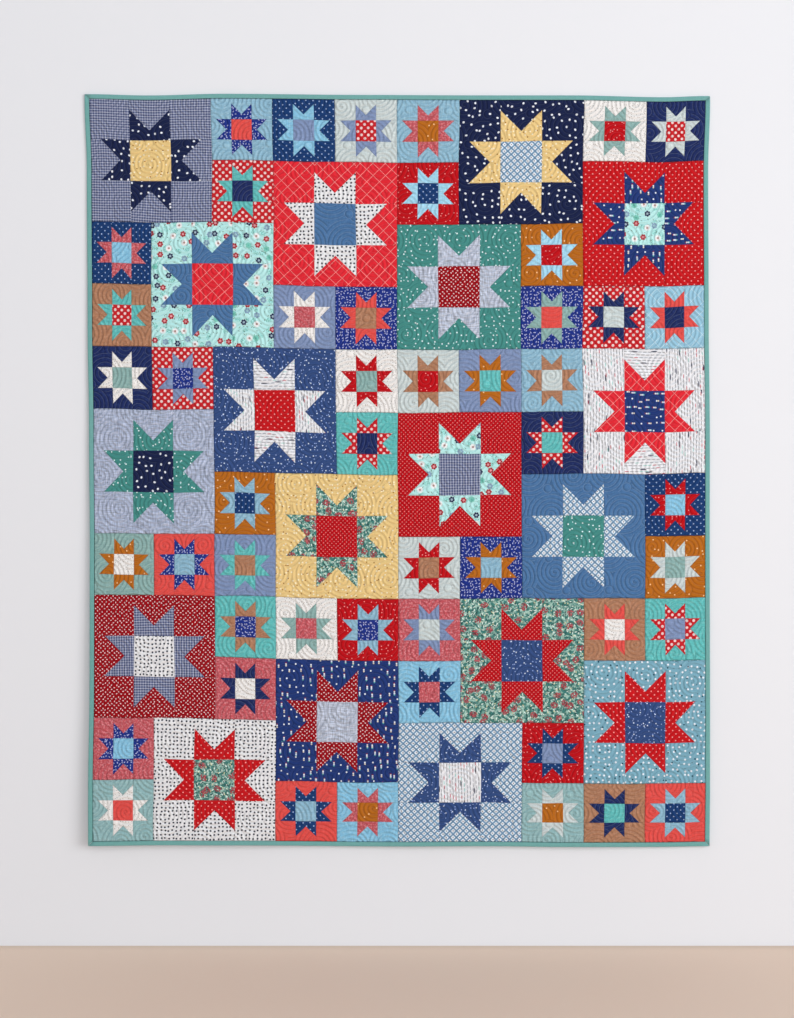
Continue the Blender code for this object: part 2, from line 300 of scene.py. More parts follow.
FURTHER_MARKS = {
    "yellow": [("a8742e", 0.0215, 0.0036, 0.0034, 0.85, 0, ANY_WAY, 1.0)],
    "green_dots": [("c2eaee", 0.0280, 0.0030, 0.0030, 0.95, 0, ANY_WAY, 1.0)],
    "blue_specks": [("dceaff", 0.0190, 0.0032, 0.0032, 0.95, 0, 0, 0.90)],
    "blue_teal": [
        ("eef6ff", 0.0150, 0.0052, 0.0050, 0.55, 0, ANY_WAY, 1.0),
        ("12485c", 0.0290, 0.0042, 0.0042, 0.85, 0, ANY_WAY, 1.0),
    ],
}
for name, ground, *first_marks in DOTTED_PRINTS:
    tree, threads = start_cotton(name)
    colour = dye(ground)
    for seed, (ink, *sizes) in enumerate([first_marks, *FURTHER_MARKS.get(name, [])]):
        layer = scatter(tree, threads, *sizes, 7.3 * seed)
        colour = lay(tree, colour, dye(ink), layer["Mask"])
    finish_cotton(tree, threads, colour)

# The sprinkled navy has two or three dots in line in each mark: a white one, a coloured one, some dark red.
SPRINKLES = (  # how far along the mark, dye, from which pick it is drawn
    (0.0052, "8a2a48", 0.45),
    (-0.0048, "62b4b4", 0.60),
    (0.0024, "eef5ff", 0.00),
    (-0.0018, "e8dece", 0.36),
    (-0.0018, "d4dcf4", 0.62),
)
tree, threads = start_cotton("navy_sprinkles")
layer = scatter(tree, threads, 0.0185, 0.0046, 0.0046, 0.55, 0, 0, 1.0)
colour = dye("243b7b")
for along_mark, ink, start in SPRINKLES:
    beside = vector_math(tree, "ADD", layer["Place"], (0.0, along_mark, 0.0))
    dot = fade(tree, vector_math(tree, "LENGTH", beside), 0.0016, 0.0025)
    drawn = calculate(tree, "GREATER_THAN", layer["Pick"], start)
    colour = lay(tree, colour, dye(ink), calculate(tree, "MULTIPLY", dot, drawn))
finish_cotton(tree, threads, colour)


# The checked, latticed and dashed prints
# A small gingham woven of dark and pale threads, lattices of thin lines printed on the bias,
# and a white cotton with rows of short coloured dashes.

lattice, given, gives = new_group("lattice", ["Threads", "Pitch", "Line"], ["Mask", "Place"])
bias = rotated(lattice, given["Threads"], STAGGERED)
in_cells = vector_math(lattice, "DIVIDE", bias, given["Pitch"])
place = vector_math(lattice, "SUBTRACT", vector_math(lattice, "FRACTION", in_cells), (0.5, 0.5, 0.0))
place = vector_math(lattice, "MULTIPLY", place, given["Pitch"])
edges = parts_of(lattice, vector_math(lattice, "ABSOLUTE", place))
furthest = calculate(lattice, "MAXIMUM", edges[0], edges[1])
inward = calculate(lattice, "MULTIPLY", furthest, -1.0)
to_line = calculate(lattice, "MULTIPLY_ADD", given["Pitch"], 0.5, inward)
half_line = calculate(lattice, "MULTIPLY", given["Line"], 0.5)
beyond = calculate(lattice, "ADD", half_line, 0.0002)
lattice.links.new(fade(lattice, to_line, half_line, beyond), gives["Mask"])
lattice.links.new(vector_math(lattice, "MULTIPLY", place, (1.0, 1.0, 0.0)), gives["Place"])

WIDE_LATTICE_PITCH = 0.0215
for name, ground, line in (("red_lattice", "e72b38", "f4a6a5"), ("sky_lattice", "99cae3", "cbe6f2")):
    tree, threads = start_cotton(name)
    crossed = use_group(tree, lattice, {"Threads": threads, "Pitch": WIDE_LATTICE_PITCH, "Line": 0.0008})
    finish_cotton(tree, threads, lay(tree, dye(ground), dye(line), crossed["Mask"]))

# The blue one is closer, with a pale diamond in each cell and a dark dot in the diamond.
BLUE_LATTICE_PITCH = 0.0116
tree, threads = start_cotton("blue_lattice")
crossed = use_group(tree, lattice, {"Threads": threads, "Pitch": BLUE_LATTICE_PITCH, "Line": 0.0009})
diamond = use_group(tree, lattice, {"Threads": threads, "Pitch": BLUE_LATTICE_PITCH, "Line": 0.0044})
colour = lay(tree, dye("f2f7fd"), dye("98bbd9"), diamond["Mask"])
colour = lay(tree, colour, dye("41668c"), crossed["Mask"])
reach = vector_math(tree, "LENGTH", crossed["Place"])
colour = lay(tree, colour, dye("223c66"), fade(tree, reach, 0.0011, 0.0015))
finish_cotton(tree, threads, colour)

GINGHAM_PITCH = 0.0064
GINGHAM_STRIPES = (  # middle of the stripe as a share of the pitch, its half width, dye, how full
    (0.25, 0.18, "2c3560", 0.43),
    (0.75, 0.16, "eef2fc", 0.30),
)
tree, threads = start_cotton("gingham")
split = parts_of(tree, threads)
colour = dye("66739e")
for axis in (0, 1):
    across = calculate(tree, "FRACT", calculate(tree, "DIVIDE", split[axis], GINGHAM_PITCH))
    for middle, half, ink, full in GINGHAM_STRIPES:
        from_stripe = calculate(tree, "ABSOLUTE", calculate(tree, "SUBTRACT", across, middle))
        stripe = calculate(tree, "MULTIPLY", fade(tree, from_stripe, half - 0.05, half + 0.05), full)
        colour = lay(tree, colour, dye(ink), stripe)
finish_cotton(tree, threads, colour, 0.14)

DASH_ROW = 0.0070
DASH_STRETCH = 0.58
DASH_SKEW = 0.37
DASH_INKS = (("a2d6d1", 0.10), ("c65566", 0.20))  # dye, up to which pick
tree, threads = start_cotton("white_dashes")
split = parts_of(tree, threads)
skewed = calculate(tree, "MULTIPLY", split[1], DASH_SKEW)
stretched = calculate(tree, "MULTIPLY_ADD", split[0], DASH_STRETCH, skewed)
stretched = add_node(tree, "ShaderNodeCombineXYZ", {0: stretched, 1: split[1]}).outputs[0]
layer = scatter(tree, stretched, DASH_ROW, 0.0064, 0.0021, 0.10, 0, 0, 0.95)
paint = dye("a2a5ae")
for hue, up_to in reversed(DASH_INKS):
    chosen = calculate(tree, "LESS_THAN", layer["Pick"], up_to)
    paint = lay(tree, paint, dye(hue), chosen)
colour = lay(tree, dye("f0f3f9"), paint, layer["Mask"])
thick = scatter(tree, stretched, 4 * DASH_ROW, 0.0092, 0.0030, 0.8, 0, 0, 0.7, 3.7)
finish_cotton(tree, threads, lay(tree, colour, dye("474a60"), thick["Mask"]))


# The flowered prints
# An aqua cotton strewn with small open flowers on faint sprigs, and a green one closely covered
# with leaves and clusters of red flowers. The flowers are plain round-petalled ones.

flower, given, gives = new_group("flower", ["Place", "Ring", "Petal", "Petals"], ["Petals", "Eye", "Disc"])
split = parts_of(flower, given["Place"])
reach = vector_math(flower, "LENGTH", given["Place"])
share = calculate(flower, "MULTIPLY", calculate(flower, "ARCTAN2", split[1], split[0]), 1 / (2 * math.pi))
share = calculate(flower, "MULTIPLY", share, given["Petals"])
share = calculate(flower, "SUBTRACT", share, calculate(flower, "ROUND", share))
angle = calculate(flower, "MULTIPLY", calculate(flower, "DIVIDE", share, given["Petals"]), 2 * math.pi)
outward = calculate(flower, "MULTIPLY", reach, calculate(flower, "COSINE", angle))
outward = calculate(flower, "SUBTRACT", outward, given["Ring"])
beside = calculate(flower, "MULTIPLY", reach, calculate(flower, "SINE", angle))
from_petal = add_node(flower, "ShaderNodeCombineXYZ", {0: outward, 1: beside}).outputs[0]
from_petal = calculate(flower, "DIVIDE", vector_math(flower, "LENGTH", from_petal), given["Petal"])
flower.links.new(fade(flower, from_petal, 0.86, 1.10), gives["Petals"])
in_ring = calculate(flower, "DIVIDE", reach, given["Ring"])
flower.links.new(fade(flower, in_ring, 0.44, 0.66), gives["Eye"])
flower.links.new(fade(flower, in_ring, 1.25, 1.75), gives["Disc"])

AQUA_FLOWERS = (  # from which pick, halo's or disc's dye, petals' dye, eye's dye
    (0.00, "d0ebe4", "ac2836", "f0a0aa"),
    (0.30, "e6f4f2", "f2f7fa", "b8908c"),
    (0.54, "cdeae5", "1e2b54", "a5bccb"),
    (0.70, "b9e2dd", "86a5c2", "a6cfd6"),
    (0.86, "a5ddd2", "7cccbe", "68bdb0"),
)
tree, threads = start_cotton("aqua_floral")
colour = dye("bdf2f2")
sprigs = add_noise(tree, threads, 420.0, 1.0)
layer = scatter(tree, threads, 0.0290, 0.0170, 0.0110, 0.85, 0, ANY_WAY, 1.0, 5.3)
leafy = calculate(tree, "MULTIPLY", layer["Mask"], fade(tree, sprigs, 0.54, 0.46))
colour = lay(tree, colour, dye("7cccc4"), leafy)
layer = scatter(tree, threads, 0.0100, 0.0058, 0.0016, 0.9, 0, ANY_WAY, 0.5, 3.1)
colour = lay(tree, colour, dye("76968a"), layer["Mask"])
layer = scatter(tree, threads, 0.0280, 0.0160, 0.0160, 0.60, 0, ANY_WAY, 1.0, 11.7)
blossom = use_group(tree, flower, {"Place": layer["Place"], "Ring": 0.0050, "Petal": 0.0027, "Petals": 6.0})
disc, petals, eye = (dye(hue) for hue in AQUA_FLOWERS[0][1:])
for start, *hues in AQUA_FLOWERS[1:]:
    chosen = calculate(tree, "GREATER_THAN", layer["Pick"], start)
    disc, petals, eye = (lay(tree, had, dye(hue), chosen) for had, hue in zip((disc, petals, eye), hues))
colour = lay(tree, colour, disc, blossom["Disc"])
colour = lay(tree, colour, petals, blossom["Petals"])
colour = lay(tree, colour, eye, blossom["Eye"])
finish_cotton(tree, threads, colour)

GREEN_LAYERS = (  # dye, spacing, length, width, keep
    ("3f7a72", 0.0092, 0.0074, 0.0028, 0.80),
    ("e6f6ee", 0.0096, 0.0066, 0.0024, 0.80),
    ("26484e", 0.0112, 0.0056, 0.0024, 0.80),
    ("e6e0ae", 0.0150, 0.0038, 0.0026, 0.75),
)
tree, threads = start_cotton("green_floral")
mottle = add_noise(tree, threads, 110.0, 4.0)
colour = lay(tree, dye("a6cdc1"), dye("41807a"), fade(tree, mottle, 0.56, 0.42))
for seed, (ink, spacing, length, width, keep) in enumerate(GREEN_LAYERS):
    layer = scatter(tree, threads, spacing, length, width, 0.9, 0, ANY_WAY, keep, 5.9 * seed)
    colour = lay(tree, colour, dye(ink), layer["Mask"])
petals = add_noise(tree, threads, 230.0, 1.0)
layer = scatter(tree, threads, 0.0300, 0.0190, 0.0150, 0.8, 0, ANY_WAY, 0.9, 31.1)
for ink, full, none in (("8e3844", 0.46, 0.42), ("c4666c", 0.58, 0.54)):
    cluster = calculate(tree, "MULTIPLY", layer["Mask"], fade(tree, petals, full, none))
    colour = lay(tree, colour, dye(ink), cluster)
finish_cotton(tree, threads, colour)


# The star blocks
# Nine-patch squares pieced of three cottons each: a square centre, four pieces with two star points each,
# and a ground. Batting lies under them, and the long-arm's swirls are stitched through all of it.

UNIT_ACROSS = 0.1516  # a 6 inch block, drawn in across by the quilting
UNIT_DOWN = 0.1534  # the same block, drawn down by the quilt's own weight
COLUMNS = 10
ROWS = 12
WIDE = COLUMNS * UNIT_ACROSS
TALL = ROWS * UNIT_DOWN
BINDING_WIDE = 0.0115
BINDING_HALF = 0.0028
SIDE_EDGES = (  # share of the way down, left edge outwards, right edge outwards
    (0.00, 0.0115, 0.0045),
    (0.10, 0.0057, -0.0002),
    (0.30, 0.0036, 0.0012),
    (0.45, -0.0005, 0.0038),
    (0.60, -0.0032, 0.0032),
    (0.80, -0.0039, 0.0035),
    (0.92, -0.0016, 0.0032),
    (1.00, -0.0022, 0.0018),
)
LEVEL_EDGES = (  # share of the way across, top edge upwards, bottom edge downwards
    (0.00, 0.0042, -0.0042),
    (0.10, 0.0010, -0.0050),
    (0.22, 0.0052, -0.0044),
    (0.45, 0.0023, -0.0004),
    (0.62, 0.0012, -0.0013),
    (0.78, 0.0011, 0.0008),
    (0.93, -0.0034, 0.0018),
    (1.00, -0.0004, 0.0000),
)
SEAM_DRIFT = (  # share across, how far upright seams lie to the right of even at the top, middle and foot
    (0.00, 0.0, 0.0, 0.0),
    (0.10, -0.0050, -0.0047, -0.0025),
    (0.30, -0.0049, -0.0059, -0.0044),
    (0.50, -0.0007, -0.0046, -0.0037),
    (0.70, 0.0026, -0.0012, -0.0009),
    (0.90, 0.0070, 0.0021, 0.0023),
    (1.00, 0.0, 0.0, 0.0),
)
SEAM_SAG = (  # share down, how far level seams lie below even at the left, middle and right
    (0.00, 0.0, 0.0, 0.0),
    (0.08, -0.0026, 0.0028, -0.0042),
    (0.25, -0.0014, 0.0054, -0.0011),
    (0.42, 0.0036, 0.0109, 0.0035),
    (0.60, 0.0058, 0.0125, 0.0073),
    (0.83, 0.0017, 0.0134, 0.0101),
    (0.92, 0.0016, 0.0068, 0.0081),
    (1.00, 0.0, 0.0, 0.0),
)
LEAN = 0.013  # the bottom edge stands this far off the wall
LEAN_POWER = 1.6
CORNER_LEAN = 0.014  # and the lower left corner further still
CORNER_POWER = 2.2
RIPPLES = (  # depth at the bottom edge, waves across, phase, how steeply it fades upwards
    (0.0032, 1.7, 0.6, 1.2),
    (0.0022, 3.6, 2.1, 2.4),
)
RIPPLE_START = 0.06  # share of the way down at which the cloth is still held flat

SEAM_HALF = 0.0013
PUFF = 0.0017
SEAM_REACH = 0.0065  # the cloth has risen to its full height this far from a seam
SEAM_LEVEL = 0.35  # share of the puff that is left at a seam
STITCH_LEVEL = 0.10  # and along the quilting
ALLOWANCE = 0.0060  # seam allowances are pressed under the star and its centre
ALLOWANCE_RISE = 0.00035
EDGE_REACH = 0.012  # the binding's seam holds the layers down over this width
MIDDLE_CLEAR = 0.0001  # the top and the back stop this far short of the middle of the batting
STRAY = (  # how seams wander: distance, its waves across and down the quilt, phase
    (0.0005, 5.3, 4.1, 0.4),
    (0.0004, -3.7, 6.9, 2.2),
    (0.0002, 11.0, -5.0, 4.1),
)
FINE = 48  # mesh squares to a unit in front
COARSE = 8  # and behind, where the block lies on the batting
PATCHES = 3
NOTCH_IN = 0.75  # the notch between two star points lies this share of a patch in, and their tips 0.5 less
ALLOWANCE_EDGE = 0.002  # a pressed seam allowance slopes up over this width, and down over twice as much
OFF_GRAIN = math.radians(1.2)
SHOWN_MAP_SHARE = 0.96  # of the baked map's height, for the side that shows
HIDDEN_MAP_SHARE = 0.03

chance = np.random.default_rng(1872)


def smooth_step(share):
    share = np.clip(share, 0.0, 1.0)
    return share * share * (3.0 - 2.0 * share)


def along(table, share, column):
    """One column of a table at shares of the way along it, each row joined to the next smoothly."""
    rows = np.array(table)
    share = np.clip(share, 0.0, 1.0)
    row = np.clip(np.searchsorted(rows[:, 0], share, side="right") - 1, 0, len(rows) - 2)
    between = smooth_step((share - rows[row, 0]) / (rows[row + 1, 0] - rows[row, 0]))
    return rows[row, column] + between * (rows[row + 1, column] - rows[row, column])


def seam_shift(table, share, other_share):
    """How far a seam has moved. The table's three columns stand at none, half and all of the other share."""
    first, middle, last = (along(table, share, column) for column in (1, 2, 3))
    upper = first + smooth_step(2.0 * other_share) * (middle - first)
    lower = middle + smooth_step(2.0 * other_share - 1.0) * (last - middle)
    return np.where(other_share < 0.5, upper, lower)


def hang(across, down, forward):
    """The hung places of points of the flat quilt, as rows of x, y and z."""
    right_share = across / WIDE
    down_share = down / TALL
    left = -WIDE / 2 - along(SIDE_EDGES, down_share, 1)
    right = WIDE / 2 + along(SIDE_EDGES, down_share, 2)
    top = -BINDING_WIDE + along(LEVEL_EDGES, right_share, 1)
    bottom = -BINDING_WIDE - TALL - along(LEVEL_EDGES, right_share, 2)
    hung = np.clip((down_share - RIPPLE_START) / (1.0 - RIPPLE_START), 0.0, 1.0)
    left_share = np.clip(1.0 - right_share, 0.0, 1.0)
    depth = LEAN * hung**LEAN_POWER + CORNER_LEAN * hung**CORNER_POWER * left_share**CORNER_POWER
    for size, waves, phase, fade_power in RIPPLES:
        depth += size * hung**fade_power * np.sin(2.0 * np.pi * waves * right_share + phase)
    x = left + right_share * (right - left) + seam_shift(SEAM_DRIFT, right_share, down_share)
    z = top + down_share * (bottom - top) - seam_shift(SEAM_SAG, down_share, right_share)
    return np.stack([x, -BINDING_HALF - depth - forward, z], axis=1)


def to_border(across, down):
    """How far a point of the flat quilt lies in from the binding's seam."""
    return np.minimum(np.minimum(across, WIDE - across), np.minimum(down, TALL - down))


# The quilter's swirls lie in staggered rows, each nudged out of line, with plain small rings between them.
SWIRL_SPACING = 0.098
SWIRL_ROW = 0.084
SWIRL_NUDGE = 0.020
CURL_RADIUS = 0.0135
SWIRL_COLUMNS = math.ceil(WIDE / SWIRL_SPACING) + 3
SWIRL_ROWS = math.ceil(TALL / SWIRL_ROW) + 3
swirl_row, swirl_column = np.mgrid[0:SWIRL_ROWS, 0:SWIRL_COLUMNS]
swirl_across = (swirl_column - 1 + 0.5 * (swirl_row % 2)) * SWIRL_SPACING
swirl_middles = np.stack([swirl_across, (swirl_row - 1) * SWIRL_ROW], axis=2).reshape(-1, 2)
curl_middles = swirl_middles + (0.5 * SWIRL_SPACING, 0.36 * SWIRL_ROW)
swirl_middles = swirl_middles + chance.uniform(-SWIRL_NUDGE, SWIRL_NUDGE, swirl_middles.shape)
curl_middles = curl_middles + chance.uniform(-0.3 * SWIRL_NUDGE, 0.3 * SWIRL_NUDGE, curl_middles.shape)
swirl_ways = chance.choice((-1.0, 1.0), len(swirl_middles))


def swirl_at(across, down):
    """The middle and the way of turning of each point's swirl. The way is 0 in a small ring."""
    points = np.stack([across, down], axis=1)
    low, high = points.min(0) - 2 * SWIRL_SPACING, points.max(0) + 2 * SWIRL_SPACING
    near = ((swirl_middles > low) & (swirl_middles < high)).all(1)
    middles, ways, curls = swirl_middles[near], swirl_ways[near], curl_middles[near]
    nearest = np.argmin(((points[:, None] - middles[None]) ** 2).sum(2), axis=1)
    curl_distance = ((points[:, None] - curls[None]) ** 2).sum(2)
    curl = np.argmin(curl_distance, axis=1)
    in_curl = curl_distance.min(1) < CURL_RADIUS**2
    middle = np.where(in_curl[:, None], curls[curl], middles[nearest])
    return middle, np.where(in_curl, 0.0, ways[nearest])


def ring_at(across, down):
    """From 0 on a line of quilting to 1 halfway to the next."""
    middle, way = swirl_at(across, down)
    out = np.stack([across, down], axis=1) - middle
    reach = np.maximum(np.hypot(out[:, 0], out[:, 1]) / RING_PITCH, np.where(way == 0.0, 0.5, 0.0))
    turn = reach + way * np.arctan2(out[:, 1], out[:, 0]) / (2 * np.pi)
    return 0.5 - 0.5 * np.cos(2.0 * np.pi * turn)


def puffed(across, down, seam):
    """The share of its full height to which the cloth has risen between seams and lines of quilting."""
    risen = SEAM_LEVEL + (1.0 - SEAM_LEVEL) * smooth_step(seam / SEAM_REACH)
    return risen * (STITCH_LEVEL + (1.0 - STITCH_LEVEL) * ring_at(across, down))


def stray(across, down):
    """How far a seam has wandered across and down. It has not, at the binding's seam."""
    held = smooth_step(to_border(across, down) / (2 * EDGE_REACH))
    sideways = np.zeros_like(across)
    downwards = np.zeros_like(across)
    for size, waves_across, waves_down, phase in STRAY:
        place = 2.0 * np.pi * (waves_across * across / WIDE + waves_down * down / TALL) + phase
        sideways += size * np.sin(place)
        downwards += size * np.cos(1.3 * place + phase)
    return held * sideways, held * downwards


def flat_pad(fine, coarse):
    """A closed pad in a unit square: fine squares at z = 1, coarse ones at z = 0, and a rim."""
    bpy.ops.object.select_all(action="DESELECT")
    half_turn = (math.pi, 0.0, 0.0)
    for (across, up), height, turn in ((fine, 1.0, (0.0, 0.0, 0.0)), (coarse, 0.0, half_turn)):
        bpy.ops.mesh.primitive_grid_add(
            x_subdivisions=across, y_subdivisions=up, size=1.0, location=(0.5, 0.5, height), rotation=turn
        )
        if height:
            front = bpy.context.object
    front.select_set(True)
    bpy.ops.object.join()
    pad = bpy.context.object
    bpy.ops.object.transform_apply(location=True, rotation=True, scale=True)
    bpy.ops.object.mode_set(mode="EDIT")
    bpy.ops.mesh.select_mode(type="EDGE")
    bpy.ops.mesh.select_all(action="DESELECT")
    bpy.ops.mesh.select_non_manifold()
    bpy.ops.mesh.bridge_edge_loops()
    bpy.ops.object.mode_set(mode="OBJECT")
    return pad


def star_arm(x, y):
    """Where points of a block lie in the nearest side patch: off its middle line, and in from the edge."""
    sideways = np.abs(x - PATCHES / 2) > np.abs(y - PATCHES / 2)
    beside = np.where(sideways, y, x) - PATCHES / 2
    inward = np.where(sideways, x, y)
    return np.abs(beside), np.minimum(inward, PATCHES - inward)


def cut_star(pad):
    """Splits each square that a star point's slanting seam crosses, along the seam."""
    for slope, way in ((1, "FIXED"), (-1, "FIXED_ALTERNATE")):
        bpy.ops.object.mode_set(mode="EDIT")
        bpy.ops.mesh.select_mode(type="FACE")
        bpy.ops.mesh.select_all(action="DESELECT")
        bpy.ops.object.mode_set(mode="OBJECT")
        for face in pad.data.polygons:
            x, y = face.center.x * PATCHES, face.center.y * PATCHES
            beside, inward = star_arm(x, y)
            on_slant = beside < 0.5 and abs(beside + inward - NOTCH_IN) < 0.001
            leaning = (x - PATCHES / 2) * (y - PATCHES / 2) * slope > 0
            face.select = bool(on_slant and leaning and len(face.vertices) == 4 and face.normal.z > 0.5)
        bpy.ops.object.mode_set(mode="EDIT")
        bpy.ops.mesh.quads_convert_to_tris(quad_method=way)
        bpy.ops.object.mode_set(mode="OBJECT")


def seam_distance_at(x, y, patch):
    """How far points of a block lie from the nearest seam, in metres. x and y are in patches."""
    lines = np.minimum(np.abs(x - np.round(x)), np.abs(y - np.round(y)))
    beside, inward = star_arm(x, y)
    slant = np.abs(beside + inward - NOTCH_IN) / math.sqrt(2.0)
    slant = np.where((beside < 0.5) & (inward < 1.0), slant, 1.0)
    return np.minimum(lines, slant) * patch


def corners_of(mesh):
    """The face number and the vertex number of each face corner."""
    sizes = np.empty(len(mesh.polygons), np.int32)
    mesh.polygons.foreach_get("loop_total", sizes)
    points = np.empty(len(mesh.loops), np.int32)
    mesh.loops.foreach_get("vertex_index", points)
    return np.repeat(np.arange(len(sizes)), sizes), points


def places_of(items, kind):
    """The places of a mesh's vertices, or the middles of its faces, one to a row."""
    places = np.empty(len(items) * 3)
    items.foreach_get(kind, places)
    return places.reshape(-1, 3)


def write_map(mesh, name, across, up):
    """A flat map with the two numbers of each face corner."""
    corners = np.column_stack([across, up]).astype(np.float32).ravel()
    mesh.uv_layers.new(name=name).data.foreach_set("uv", corners)


def write_seams(mesh, seam):
    """Writes how far each vertex lies from the nearest seam."""
    mesh.attributes.new("seam", "FLOAT", "POINT").data.foreach_set("value", seam.astype(np.float32))


def write_swirls(mesh, flat, faces, points):
    """Writes each face corner's place from the middle of the swirl that its face belongs to."""
    middles = np.zeros((faces.max() + 1, 2))
    np.add.at(middles, faces, flat[points])
    middles /= np.bincount(faces)[:, None]
    swirl_middle, way = swirl_at(middles[:, 0], middles[:, 1])
    out = flat[points] - swirl_middle[faces]
    attribute = mesh.attributes.new("swirl", "FLOAT_VECTOR", "CORNER")
    attribute.data.foreach_set("vector", np.column_stack([out, way[faces]]).astype(np.float32).ravel())


def write_bake_map(mesh, shares, faces, points):
    """A map to bake into that gives nearly all its room to the side that shows."""
    shown = np.ones(faces.max() + 1, bool)
    np.logical_and.at(shown, faces, shares[points, 2] > 0.5)
    up = shares[points, 1]
    up = np.where(shown[faces], 1.0 - SHOWN_MAP_SHARE * (1.0 - up), HIDDEN_MAP_SHARE * up)
    write_map(mesh, "OFBake", shares[points, 0], up)


def write_threads(mesh, flat, faces, points, patches, turns):
    """Each patch is cut from its own place in its cloth, and nearly but not quite on the grain."""
    askew = turns + chance.normal(0.0, OFF_GRAIN, len(turns))
    cut_from = chance.uniform(0.0, 1.0, (len(turns), 2))
    patch = patches[faces]
    cosine, sine = np.cos(askew[patch]), np.sin(askew[patch])
    x, y = flat[points, 0], flat[points, 1]
    start_x, start_y = cut_from[patch].T
    write_map(mesh, "threads", cosine * x - sine * y + start_x, sine * x + cosine * y + start_y)


def finish_piece(name, mesh, cloths, node):
    for cloth in cloths:
        mesh.materials.append(cloth)
    mesh.shade_smooth()
    mesh.update()
    piece = bpy.data.objects.new(name, mesh)
    bpy.context.scene.collection.objects.link(piece)
    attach(piece, "root")
    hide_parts(node)
    return piece


CENTRE, CORNER, POINTS, BEHIND_POINTS = 0, 1, 5, 9  # first patch number of each kind


def patches_of(middles):
    """The patch number of each face of a star block, from the middles of its faces."""
    x, y = middles[:, 0] * PATCHES, middles[:, 1] * PATCHES
    column, row = np.clip(x.astype(int), 0, 2), np.clip(y.astype(int), 0, 2)
    beside, inward = star_arm(x, y)
    side = np.where(column == 1, np.where(row == 0, 0, 1), np.where(column == 0, 2, 3))
    in_arm = np.where(beside + inward < NOTCH_IN, BEHIND_POINTS, POINTS) + side
    corner = CORNER + column // 2 + row // 2 * 2
    patch = np.where((column != 1) & (row != 1), corner, in_arm)
    return np.where((column == 1) & (row == 1), CENTRE, patch)


QUARTER_TURN = math.pi / 2
PATCH_TURNS = np.array([QUARTER_TURN] + [0.0] * 6 + [QUARTER_TURN] * 2 + [0.0] * 4)
DASH_GROUND_TURNS = np.array([QUARTER_TURN] * 5 + [0.0, 0.0, QUARTER_TURN, QUARTER_TURN] * 2)


def star_block(template, units, column, row, ground, star, centre):
    """One block at its place in the quilt, in its own three cottons."""
    mesh = template.copy()
    shares = places_of(mesh.vertices, "co")
    across = (column + units * shares[:, 0]) * UNIT_ACROSS
    down = (row + units * (1.0 - shares[:, 1])) * UNIT_DOWN
    flat = np.column_stack([across, down])
    seam = seam_distance_at(shares[:, 0] * PATCHES, shares[:, 1] * PATCHES, units * UNIT_ACROSS / PATCHES)
    patches = patches_of(places_of(mesh.polygons, "center"))
    cloth_of = np.select([patches == CENTRE, (patches >= POINTS) & (patches < BEHIND_POINTS)], [2, 1], 0)
    faces, points = corners_of(mesh)
    in_star = np.zeros(len(shares), bool)
    in_star[points[cloth_of[faces] > 0]] = True
    to_allowance_end = ALLOWANCE + ALLOWANCE_EDGE - seam
    pressed = smooth_step(seam / ALLOWANCE_EDGE) * smooth_step(to_allowance_end / (2 * ALLOWANCE_EDGE))
    rise = PUFF * puffed(across, down, seam) + ALLOWANCE_RISE * in_star * pressed
    forward = SEAM_HALF + rise * smooth_step(to_border(across, down) / EDGE_REACH)
    forward = np.where(shares[:, 2] > 0.5, forward, MIDDLE_CLEAR)
    sideways, downwards = stray(across, down)
    mesh.vertices.foreach_set("co", hang(across + sideways, down + downwards, forward).ravel())
    write_seams(mesh, seam)
    write_swirls(mesh, flat, faces, points)
    write_bake_map(mesh, shares, faces, points)
    turns = DASH_GROUND_TURNS if ground == "white_dashes" else PATCH_TURNS
    write_threads(mesh, flat, faces, points, patches, turns)
    mesh.polygons.foreach_set("material_index", cloth_of.astype(np.int32))
    kind = "large_star" if units == 2 else "small_star"
    cloths = [cotton[ground], cotton[star], cotton[centre]]
    piece = finish_piece(f"{kind}_{column}_{row}", mesh, cloths, "quilted_layers")


LARGE_STARS = (  # column, row, ground, star, centre
    (0, 0, "gingham", "navy_scattered", "yellow"),
    (6, 0, "navy_scattered", "yellow", "blue_lattice"),
    (3, 1, "red_lattice", "white_black", "denim"),
    (8, 1, "red_small", "navy_sprinkles", "aqua_floral"),
    (1, 2, "aqua_floral", "denim", "red_lattice"),
    (5, 2, "green_dots", "lavender_linen", "dark_red_ditsy"),
    (2, 4, "blue_specks", "white_dashes", "red_small"),
    (8, 4, "white_dashes", "red_lattice", "navy_sprinkles"),
    (0, 5, "lavender_deep", "green_dots", "navy_scattered"),
    (5, 5, "red_fine", "aqua_floral", "gingham"),
    (3, 6, "yellow", "green_floral", "red_fine"),
    (7, 6, "denim", "blue_lattice", "green_dots"),
    (0, 8, "dark_red_ditsy", "gingham", "white_black"),
    (6, 8, "green_floral", "red_fine", "blue_specks"),
    (3, 9, "navy_sprinkles", "dark_red_ditsy", "lavender_linen"),
    (8, 9, "blue_teal", "red_small", "blue_specks"),
    (1, 10, "white_black", "red_small", "green_floral"),
    (5, 10, "blue_lattice", "blue_specks", "white_dashes"),
)
